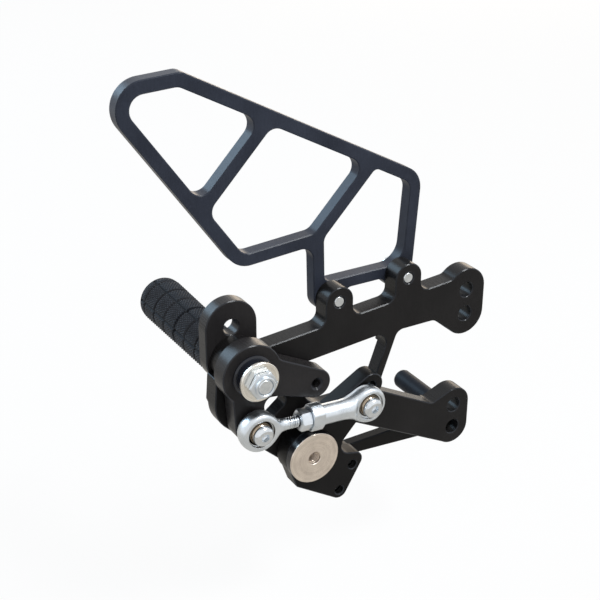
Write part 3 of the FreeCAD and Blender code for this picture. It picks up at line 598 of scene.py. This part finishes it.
# %% Knurl tree
knurl_tree, board, given = new_tree("knurl", ["Axis"], [
    "Start", "Teeth", "Tooth length", "Tooth depth", "First ring", "Ring pitch", "Groove half width",
    "Groove depth", "Slot", "Slot depth", "Flutes", "Flute turn"])
place = board.node("GeometryNodeInputPosition")
outward = board.node("ShaderNodeVectorMath", {"operation": "SUBTRACT"}, {0: place, 1: given.out("Axis")})
out_x, _, out_z = board.parts(outward)
flat = board.node("ShaderNodeCombineXYZ", {}, {0: out_x, 2: out_z})
radial = board.node("ShaderNodeVectorMath", {"operation": "NORMALIZE"}, {0: flat})
radius = (out_x * out_x + out_z * out_z).root()
turns = out_z.math("ARCTAN2", out_z, out_x) / (2 * math.pi)
way = board.parts(place)[1] - given.out("Start")
share = board.node("GeometryNodeInputNamedAttribute", {"data_type": "FLOAT"}, {"Name": "grip"})
teeth_round = turns * given.out("Teeth")
teeth_along = way / given.out("Tooth length")
first_cut = (teeth_round + teeth_along).wave(0.5)
second_cut = (teeth_round - teeth_along).wave(0.5)
tooth = first_cut.least(second_cut) * 2.0
groove_floor = given.out("Groove half width") * 0.5
groove_wall = given.out("Groove half width") * 0.7
ring_gap = (way - given.out("First ring")).wave(given.out("Ring pitch") / 2.0)
flute_gap = (turns - given.out("Flute turn")).wave(0.5 / given.out("Flutes")) * radius * (2 * math.pi)
block = ((ring_gap.least(flute_gap) - groove_floor) / groove_wall).clamped()
slot = 1.0 - ((abs(way - given.out("Slot")) - groove_floor) / groove_wall).clamped()
held = (share / least_share).clamped()
crest = block * share * tooth
rise = crest * given.out("Tooth depth") - (1.0 - block) * held * given.out("Groove depth")
rise = rise - slot * held * (given.out("Slot depth") - given.out("Groove depth"))
push = board.node("ShaderNodeVectorMath", {"operation": "SCALE"}, {0: radial, "Scale": rise})
moved = board.node("GeometryNodeSetPosition", {}, {"Geometry": given.out("Geometry"), "Offset": push})
kept = board.node("GeometryNodeStoreNamedAttribute", {"data_type": "FLOAT", "domain": "POINT"},
                  {"Geometry": moved, "Name": "crest", "Value": crest})
end_tree(board, kept, given.out("Material"))
print("knurl tree of", len(knurl_tree.nodes), "nodes")

# %% [markdown]
# ## The grip's finish
# The knurl is anodised like the plates, but boots have rubbed the tips of its teeth lighter, and its
# valleys are painted darker, a painted shade. The crest attribute of the tree says how high each point of a
# tooth is.

# %% Grip finish
def knurled_black():
    material, board = start_finish("knurled_black")
    place = coordinates(board)[0]
    stored = board.node("ShaderNodeAttribute", {"attribute_type": "GEOMETRY", "attribute_name": "crest"})
    crest = stored.out("Fac")
    cloud = board.noise(place, size=6 * MM, detail=3.0)
    fine = board.noise(place, size=0.3 * MM)
    rubbed = crest.ramp(0.45, 1.0) * cloud.ramp(0.3, 0.6)
    valley = 1.0 - crest.ramp(0.0, 0.25)
    colour = board.mix(cloud * 0.6 + fine * 0.4, rgb(0.0055, 0.0066, 0.0095), rgb(0.018, 0.021, 0.029))
    colour = board.mix(rubbed * 0.65, colour, rgb(0.135, 0.155, 0.190))
    # The valleys are painted darker: a painted shade.
    colour = board.mix(valley * 0.6, colour, rgb(0.003, 0.0032, 0.004))
    rough = 0.5 - rubbed * 0.12 + valley * 0.3 + fine.swing(0.15)
    end_finish(board, Base_Color=colour, Roughness=rough, Specular_IOR_Level=0.28,
               Normal=bump(board, fine, 0.01 * MM))
    return material


grip_black = knurled_black()
print("grip finish:", grip_black.name)

# %% Make the grip
grip = run_tree("footpeg_grip", grip_points, grip_faces, knurl_tree, {
    "Axis": peg_axis, "Start": peg_low.y, "Teeth": float(tooth_count), "Tooth length": tooth_long,
    "Tooth depth": tooth_deep, "First ring": ring_first, "Ring pitch": ring_pitch,
    "Groove half width": groove_half, "Groove depth": groove_deep,
    "Slot": ring_first + slot_ring * ring_pitch, "Slot depth": slot_deep, "Flutes": float(flute_count),
    "Flute turn": flute_turn, "Material": grip_black}, {"grip": grip_shares})
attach(grip, "frame_side")
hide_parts("footpeg")

# %% [markdown]
# ## Rod ends
# A rod end is turned first: a ball-shaped head that flows into a neck and a round shank. Then two flats are
# milled on the head, and the seat of the ball is bored. The same steps can be written as distances: how
# far a point lies outside the head, the shank and the flats. A smooth minimum joins the head and the
# shank with a soft flare, and a smooth maximum cuts the flats with a soft edge. That keeps the flow of a
# forged piece, which sharp solids don't have. The female end also has a round collar with two spanner
# flats, and the rod's back is milled flat, just clear of the levers behind it.

# %% Where a point lies on a rod end
rod_tree, board, given = new_tree("rod_end", ["Eye", "Along", "Across", "Low", "High"], [
    "Grain", "Head", "Shank", "Flare", "Half width", "Run-out", "Seat", "Mouth", "Length", "Collar start",
    "Thread start", "Thread root", "Collar", "Collar flats", "Bore", "Bore start", "Back"])


def dot(first, second):
    product = board.node("ShaderNodeVectorMath", {"operation": "DOT_PRODUCT"}, {0: first, 1: second})
    return product.out("Value")


def length(*parts):
    """The length of the vector with the given parts."""
    return sum((part * part for part in parts[1:]), parts[0] * parts[0]).root()


place = board.node("GeometryNodeInputPosition")
offset = board.node("ShaderNodeVectorMath", {"operation": "SUBTRACT"}, {0: place, 1: given.out("Eye")})
run = dot(offset, given.out("Along"))
side = dot(offset, given.out("Across"))
wide = board.parts(offset)[1]
from_rod_axis = length(side, wide)
from_eye = length(run, side, wide)
from_eye_axis = length(run, side)
print("a point is measured from the rod's axis, the eye's centre and the eye's axis")

# %% Turn, mill and bore
fine_edge = 0.3 * MM
end_edge = 0.6 * MM
flat_edge = 2.4 * MM
collar_edge = 0.25 * MM
collar_foot = 0.15 * MM
thread_fade = 0.5 * MM
spanner_sine = 0.5
spanner_cosine = 0.866

thread_cut = ((run - given.out("Thread start")) / thread_fade).clamped() * given.out("Thread root")
shank = (from_rod_axis - given.out("Shank") + thread_cut).most(0.0 - run)
body = (from_eye - given.out("Head")).joined(shank, given.out("Flare"))
run_out = (run - given.out("Head") * 0.85).most(0.0) * given.out("Run-out")
body = body.cut(abs(wide) - given.out("Half width") - run_out, flat_edge)
spanner = abs(side * spanner_sine - wide * spanner_cosine) - given.out("Collar flats")
collar = (from_rod_axis - given.out("Collar")).cut(spanner, fine_edge)
collar = collar.cut(given.out("Collar start") - run, collar_edge)
body = body.joined(collar, collar_foot)
body = body.cut(run - given.out("Length"), end_edge)
body = body.cut(wide - given.out("Back"), fine_edge)
body = body.cut(given.out("Seat") - from_eye, fine_edge)
recess = (given.out("Mouth") - from_eye_axis).least(abs(wide) - given.out("Half width") * 0.6)
body = body.cut(recess, fine_edge)
bore = (given.out("Bore") - from_rod_axis).least(run - given.out("Bore start"))
body = body.most(bore)
print("rod end tree of", len(rod_tree.nodes), "nodes so far")

# %% [markdown]
# ## From distances to a skin
# A volume holds a number in each cell of a grid. Here the number falls as the distance grows, and Volume to
# Mesh draws the skin where it passes the surface level, which is where the distance is zero.

# %% Draw the skin
surface_level = 10.0


def cells(low, high):
    """How many grains fit between two signals."""
    return (high - low) / given.out("Grain")


low_x, low_y, low_z = board.parts(given.out("Low"))
high_x, high_y, high_z = board.parts(given.out("High"))
grid = board.node("GeometryNodeVolumeCube", {}, {
    "Density": surface_level - body / MM, "Background": 0.0,
    "Min": given.out("Low"), "Max": given.out("High"),
    "Resolution X": cells(low_x, high_x), "Resolution Y": cells(low_y, high_y),
    "Resolution Z": cells(low_z, high_z)})
drawn = board.node("GeometryNodeVolumeToMesh", {"resolution_mode": "GRID"},
                   {"Volume": grid, "Threshold": surface_level})
smooth = board.node("GeometryNodeSetShadeSmooth", {}, {"Geometry": drawn})
end_tree(board, smooth, given.out("Material"))
print("rod end tree of", len(rod_tree.nodes), "nodes")

# %% [markdown]
# ## The two rod ends
# Both ends come from the same tree. The male one has a threaded shank, which the jam nut and the bore of
# the female one receive. A thread or a collar that starts further away than the end is long isn't there.

# %% Make the rod ends
margin = Vector((1.0, 1.0, 1.0)) * MM
ball_low, ball_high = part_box("bellcrank_rod_ball")
ball_radius = (ball_high.x - ball_low.x) / 2
nut_middle = (middle("rod_jam_nut") - rod_start).dot(rod_run)
nut_half = 3.0 * MM
mouth = (rod_end - rod_start).length - nut_middle - nut_half
lever_gap = 0.2 * MM
neck_long = 15.4 * MM
nowhere = 60.0 * MM
rod_sizes = {
    "Grain": 0.25 * MM, "Half width": 4.2 * MM, "Mouth": 7.1 * MM, "Thread root": 0.55 * MM,
    "Collar": 7.0 * MM, "Collar flats": 6.2 * MM, "Back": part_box("rocker")[0].y - rod_end.y - lever_gap,
    "Bore start": mouth - 12.0 * MM, "Material": zinc}


def rod_piece(name, node, eye_place, along, sizes):
    low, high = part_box(node)
    places = {"Eye": eye_place, "Along": along, "Across": along.cross(outboard), "Low": low - margin,
              "High": high + margin}
    piece = run_tree(name, [(0.0, 0.0, 0.0)], [], rod_tree, {**rod_sizes, **places, **sizes})
    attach(piece, "link_rod")
    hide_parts(node)


rod_piece("male_rod_end_turned", "male_rod_end", rod_start, rod_run, {
    "Head": 10.4 * MM, "Shank": 3.0 * MM, "Flare": 7.0 * MM, "Run-out": 0.0, "Seat": ball_radius + 0.6 * MM,
    "Length": 37.0 * MM, "Thread start": neck_long, "Collar start": nowhere, "Bore": 0.0})
rod_piece("female_rod_end_turned", "female_rod_end", rod_end, -rod_run, {
    "Head": 9.6 * MM, "Shank": 5.3 * MM, "Flare": 9.0 * MM, "Run-out": 0.9, "Seat": ball_radius + 0.25 * MM,
    "Length": mouth, "Thread start": nowhere, "Collar start": mouth - 6.6 * MM, "Bore": 3.05 * MM})

# %% [markdown]
# ## Button heads
# The two bolts of the rod have button heads: a low dome with a hexagon socket. The dome is a row of circles
# that shrink along an arc. The socket's wall is a hexagon, so the rows give a radius that can change with
# the angle, and every row has the same number of points, so that neighbours can be joined.

# %% Rows round an axis
def circle(radius):
    return lambda turn: radius


def hexagon(flats, start=0.0):
    """The radius of a hexagon at an angle, from its size across flats; a flat's middle lies at start."""
    return lambda turn: flats / 2 / math.cos((turn - start + math.pi / 6) % (math.pi / 3) - math.pi / 6)


def within(shape, radius):
    """A shape whose corners are turned down to a radius."""
    return lambda turn: min(shape(turn), radius)


def turned_rows(centre, along, rows, poles, count=72):
    """A closed skin through rows of (shape, distance), which ends in poles or joins its own start."""
    across = Vector((1.0, 0.0, 0.0)) if abs(along.y) > 0.5 else outboard
    up = across.cross(along)
    points = []
    for shape, distance in rows:
        for index in range(count):
            turn = 2 * math.pi * index / count
            spoke = across * math.cos(turn) + up * math.sin(turn)
            points.append(centre + along * distance + spoke * shape(turn))
    faces = join_rows(len(rows), count, not poles)
    if poles:
        first_pole = len(points)
        last_row = first_pole - count
        points += [centre + along * rows[0][1], centre + along * rows[-1][1]]
        for index in range(count):
            beside = (index + 1) % count
            faces.append((first_pole, index, beside))
            faces.append((first_pole + 1, last_row + beside, last_row + index))
    return points, faces


def solid_piece(name, points, faces, finish, body, node):
    """A smooth piece whose edges over 30 degrees stay crisp."""
    mesh = bpy.data.meshes.new(name)
    mesh.from_pydata(points, [], faces)
    mesh.materials.append(finish)
    mesh.shade_smooth()
    mesh.set_sharp_from_angle(angle=math.radians(30.0))
    piece = bpy.data.objects.new(name, mesh)
    bpy.context.scene.collection.objects.link(piece)
    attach(piece, body)
    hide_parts(node)
    print(name, len(points), "points")


print("rows can be circles or hexagons")

# %% Make the button bolts
button_radius = 5.25 * MM
button_high = 3.3 * MM
button_edge = 0.2 * MM
brim_high = 0.9 * MM
dome_radius = 2.9 * MM
dome_steps = 8
bolt_radius = 3.0 * MM
bolt_bevel = 0.3 * MM
key = hexagon(4.0 * MM)
key_edge = 0.15 * MM
key_deep = 2.4 * MM
drill_radius = 0.6 * MM
drill_deep = 2.9 * MM


def button_bolt(name, node, body):
    """A bolt from the bottom of its key's socket, over the dome and down to the end of its shank."""
    low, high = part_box(node)
    axis = middle(node)
    top = Vector((axis.x, low.y, axis.z))
    long = high.y - low.y
    dome_high = button_high - brim_high
    rows = [(circle(drill_radius), drill_deep), (key, key_deep), (key, key_edge)]
    for index in range(dome_steps + 1):
        lift = math.radians(90.0 * index / dome_steps)
        radius = dome_radius + (button_radius - dome_radius) * math.sin(lift)
        rows.append((circle(radius), dome_high * (1 - math.cos(lift))))
    rows += [(circle(button_radius), button_high - button_edge),
             (circle(button_radius - button_edge), button_high), (circle(bolt_radius), button_high),
             (circle(bolt_radius), long - bolt_bevel), (circle(bolt_radius - bolt_bevel), long)]
    points, faces = turned_rows(top, outboard, rows, True)
    solid_piece(name, points, faces, bolt_steel, body, node)


button_bolt("bellcrank_button_bolt", "bellcrank_rod_bolt", "bellcrank")
button_bolt("rocker_button_bolt", "rocker_rod_bolt", "shift_rocker")

# %% [markdown]
# ## Two hexagon nuts
# The nut on the footpeg bolt is a locking nut: a hexagon, a thin groove, a second hexagon and a round crown.
# The jam nut of the rod is a plain hexagon with its corners turned down at both ends. Each is one closed
# skin of rows that goes back through its bore, so it has no poles.

# %% Make the locking nut
def nut_piece(name, node, centre, along, rows, body):
    points, faces = turned_rows(centre, along, rows, False)
    solid_piece(name, points, faces, zinc, body, node)


low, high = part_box("hub_nut")
lock_front = Vector((hub_axis.x, low.y, hub_axis.z))
lock_high = high.y - low.y
lock_hex = hexagon(13.0 * MM, math.pi / 6)
lock_bore = circle(4.05 * MM)
crown = circle(5.3 * MM)
crown_high = 1.6 * MM
groove = circle(5.4 * MM)
groove_low = 3.55 * MM
groove_high = 4.05 * MM
groove_lip = within(lock_hex, 6.9 * MM)
lip_edge = 0.05 * MM
lip_high = 0.25 * MM

lock_rows = [
    (lock_bore, 0.4 * MM), (circle(4.3 * MM), 0.15 * MM), (circle(4.9 * MM), 0.0),
    (circle(5.25 * MM), 0.25 * MM), (crown, crown_high),
    (within(lock_hex, 6.2 * MM), crown_high + 0.1 * MM),
    (within(lock_hex, 6.7 * MM), crown_high + 0.3 * MM),
    (lock_hex, crown_high + 0.75 * MM), (lock_hex, groove_low - lip_high),
    (groove_lip, groove_low - lip_edge), (groove, groove_low),
    (groove, groove_high), (groove_lip, groove_high + lip_edge),
    (lock_hex, groove_high + lip_high), (lock_hex, lock_high - 0.1 * MM),
    (within(lock_hex, 7.2 * MM), lock_high), (lock_bore, lock_high)]
nut_piece("hub_lock_nut", "hub_nut", lock_front, outboard, lock_rows, "frame_side")

# %% Make the jam nut
jam_hex = hexagon(10.0 * MM, math.pi / 6)
jam_corner = within(jam_hex, 5.2 * MM)
jam_half = [(jam_hex, nut_half - 0.7 * MM), (jam_corner, nut_half - 0.25 * MM), (circle(4.6 * MM), nut_half),
            (circle(3.05 * MM), nut_half)]
jam_rows = [(shape, -distance) for shape, distance in reversed(jam_half)] + jam_half
nut_piece("rod_lock_nut", "rod_jam_nut", middle("rod_jam_nut"), rod_run, jam_rows, "link_rod")

# %% [markdown]
# ## Screw threads
# A thread is a small ridge wound round a screw or inside a hole. One tree makes every thread: it winds a
# spiral, sweeps a narrow diamond along it, and sets a copy on each point of the starting mesh, turned to
# point along the hole or the rod. The copies become real geometry at the end.

# %% Thread tree
thread_tree, board, given = new_tree("thread", ["Direction"], ["Radius", "Pitch", "Turns", "Ridge"])
spiral = board.node("GeometryNodeCurveSpiral", {}, {
    "Resolution": 28, "Rotations": given.out("Turns"), "Start Radius": given.out("Radius"),
    "End Radius": given.out("Radius"), "Height": given.out("Turns") * given.out("Pitch")})
edge = board.node("GeometryNodeCurvePrimitiveCircle", {"mode": "RADIUS"},
                  {"Resolution": 4, "Radius": given.out("Ridge")})
wound = board.node("GeometryNodeCurveToMesh", {}, {
    "Curve": spiral, "Profile Curve": edge, "Fill Caps": True})
aimed = board.node("FunctionNodeAlignRotationToVector", {"axis": "Z"}, {"Vector": given.out("Direction")})
copies = board.node("GeometryNodeInstanceOnPoints", {}, {
    "Points": given.out("Geometry"), "Instance": wound, "Rotation": aimed})
end_tree(board, copies, given.out("Material"))
print("thread tree of", len(thread_tree.nodes), "nodes")


# %% Wind the threads
def thread(name, start, direction, body, finish, radius, pitch, long, ridge):
    """A thread of the given length from its start, riding on a body."""
    piece = run_tree(name, [start], [], thread_tree, {
        "Radius": radius, "Pitch": pitch, "Turns": long / pitch, "Ridge": ridge, "Direction": direction,
        "Material": finish})
    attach(piece, body)


thread_first = neck_long + 0.2 * MM
thread_last = nut_middle - nut_half - 0.1 * MM
lever_low, lever_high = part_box("bellcrank")
shift_hole_inset = 7.7 * MM
shift_hole_bevel = 1.2 * MM
shift_hole_z = -23.5 * MM
shift_hole = Vector((lever_high.x - shift_hole_inset, lever_low.y + shift_hole_bevel, shift_hole_z))

thread("rod_thread", rod_start + rod_run * thread_first, rod_run, "link_rod",
       bolt_steel, radius=2.6 * MM, pitch=1.25 * MM, long=thread_last - thread_first, ridge=0.5 * MM)
thread("pin_hole_thread", Vector((pin_axis.x, pin_face, pin_axis.z)), outboard, "frame_side",
       pin_steel, radius=3.42 * MM, pitch=1.25 * MM, long=12.5 * MM, ridge=0.34 * MM)
thread("shift_hole_thread", shift_hole, outboard, "bellcrank", milled_black,
       radius=2.52 * MM, pitch=1.0 * MM, long=8.0 * MM, ridge=0.28 * MM)

# %% [markdown]
# ## Floor, lamps and background
# The set floats over a pale floor, held by its mount as on a motorcycle. The floor and the world are white
# to the camera and in reflections, and keep a plain level of light for the pieces. A wide cool lamp stands
# high behind on the left and draws the upper edges and the left side bands. A small one high in front
# glints on the chamfers, and a weak warm one fills in from behind on the right. The metal also mirrors
# what lies under it, so a grey card close above the floor, which only reflections see, tones that down.

# %% Studio helpers
def glowing_share(board, share):
    """The given share for the rays that show the background itself, and 0 for the rest."""
    path = board.node("ShaderNodeLightPath")
    seen = path.out("Is Camera Ray").most(path.out("Is Glossy Ray")).most(path.out("Is Transmission Ray"))
    return seen * share


def square(name, place, turn, half, material):
    """A turned square; half is the way from its middle to an edge."""
    corners = ((-half, -half), (half, -half), (half, half), (-half, half))
    mesh = bpy.data.meshes.new(name)
    mesh.from_pydata([place + turn @ Vector((x, y, 0.0)) for x, y in corners], [], [(0, 1, 2, 3)])
    mesh.materials.append(material)
    sheet = bpy.data.objects.new(name, mesh)
    bpy.context.scene.collection.objects.link(sheet)
    return sheet


def floor(depth):
    material, board = start_finish("pale_floor")
    grain = board.noise(coordinates(board)[0], size=30 * MM)
    matt = board.node("ShaderNodeBsdfPrincipled", {}, {
        "Base Color": board.mix(grain, rgb(0.86, 0.86, 0.86), rgb(0.90, 0.90, 0.90)), "Roughness": 0.8})
    white = board.node("ShaderNodeEmission", {}, {"Color": rgb(1, 1, 1), "Strength": 1.0})
    both = board.node("ShaderNodeMixShader", {}, {0: glowing_share(board, 0.93), 1: matt, 2: white})
    board.node("ShaderNodeOutputMaterial", {}, {"Surface": both})
    plane = square("floor", Vector((0.0, 0.0, depth)), Quaternion(), 6.0, material)
    plane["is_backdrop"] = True


def card(name, place, aim, half, tone):
    """A card that only reflections see."""
    material, board = start_finish(name)
    lit = board.node("ShaderNodeEmission", {}, {"Color": tone, "Strength": 1.0})
    board.node("ShaderNodeOutputMaterial", {}, {"Surface": lit})
    sheet = square(name, place, (aim - place).to_track_quat("-Z", "Y"), half, material)
    sheet.visible_camera = sheet.visible_diffuse = sheet.visible_shadow = sheet.visible_transmission = False
    sheet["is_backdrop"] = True


def lamp(name, aim, away, size, watts, colour):
    """A lamp away from what it aims at."""
    light = bpy.data.lights.new(name, "AREA")
    light.shape = "RECTANGLE"
    light.size, light.size_y = size
    light.energy = watts
    light.color = colour
    place = aim + Vector(away)
    holder = bpy.data.objects.new(name, light)
    holder.location = place
    holder.rotation_euler = (aim - place).to_track_quat("-Z", "Y").to_euler()
    bpy.context.scene.collection.objects.link(holder)


def world(fill):
    """White where it is seen, with the fill's share of its light on the pieces."""
    made = bpy.data.worlds.new("studio")
    made.use_nodes = True
    board = Board(made.node_tree)
    board.tree.nodes.clear()
    strength = glowing_share(board, 1.0 - fill) + fill
    back = board.node("ShaderNodeBackground", {}, {"Color": rgb(1, 1, 1), "Strength": strength})
    board.node("ShaderNodeOutputWorld", {}, {"Surface": back})
    bpy.context.scene.world = made


print("a studio is a floor, a card, lamps and a world")

# %% Build the studio
centre = (cad_low + cad_high) / 2
floor_gap = 0.06
card_gap = 0.055
card_place = Vector((centre.x, centre.y, cad_low.z - card_gap))
floor(cad_low.z - floor_gap)
lamp("cool_back", centre, away=(-0.85, 1.35, 0.85), size=(1.2, 0.8), watts=18.0, colour=(0.52, 0.77, 1.0))
lamp("high_front", centre, away=(0.55, -0.6, 1.05), size=(0.45, 0.35), watts=12.0, colour=(0.95, 0.98, 1.0))
lamp("warm_right", centre, away=(1.2, 1.4, 0.15), size=(0.9, 0.5), watts=4.0, colour=(1.0, 0.80, 0.58))
card("low_card", card_place, centre, half=0.8, tone=rgb(0.62, 0.595, 0.55))
world(fill=0.35)
print("centre of the set at", [round(v, 3) for v in centre])

# %% [markdown]
# ## Camera
# The photograph was taken from behind and inboard, a little above the set, with a long lens. The camera
# was found by matching the outline of the plates, and its place is a position in the CAD frame.

# %% Camera
camera_place = (-0.36478, -0.45710, 0.27434)
camera_tilt = math.radians(63.97)
camera_turn = math.radians(-30.16)
lens = bpy.data.cameras.new("photo_camera")
lens.lens = 72.0
lens.sensor_width = 36.0
eye = bpy.data.objects.new("photo_camera", lens)
eye.location = camera_place
eye.rotation_euler = (camera_tilt, 0.0, camera_turn)
bpy.context.scene.collection.objects.link(eye)
bpy.context.scene.camera = eye
bpy.context.scene.view_settings.view_transform = "Standard"
print("camera", round((eye.location - centre).length, 3), "m from the set")

# %% [markdown]
# ## Sizes
# The dressed set must keep the size of the CAD, so both boxes are compared and the growth is printed.

# %% Print the growth
low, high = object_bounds()
print("grew by", [round((a - b) / MM, 2) for a, b in zip(high - low, cad_high - cad_low)], "mm")
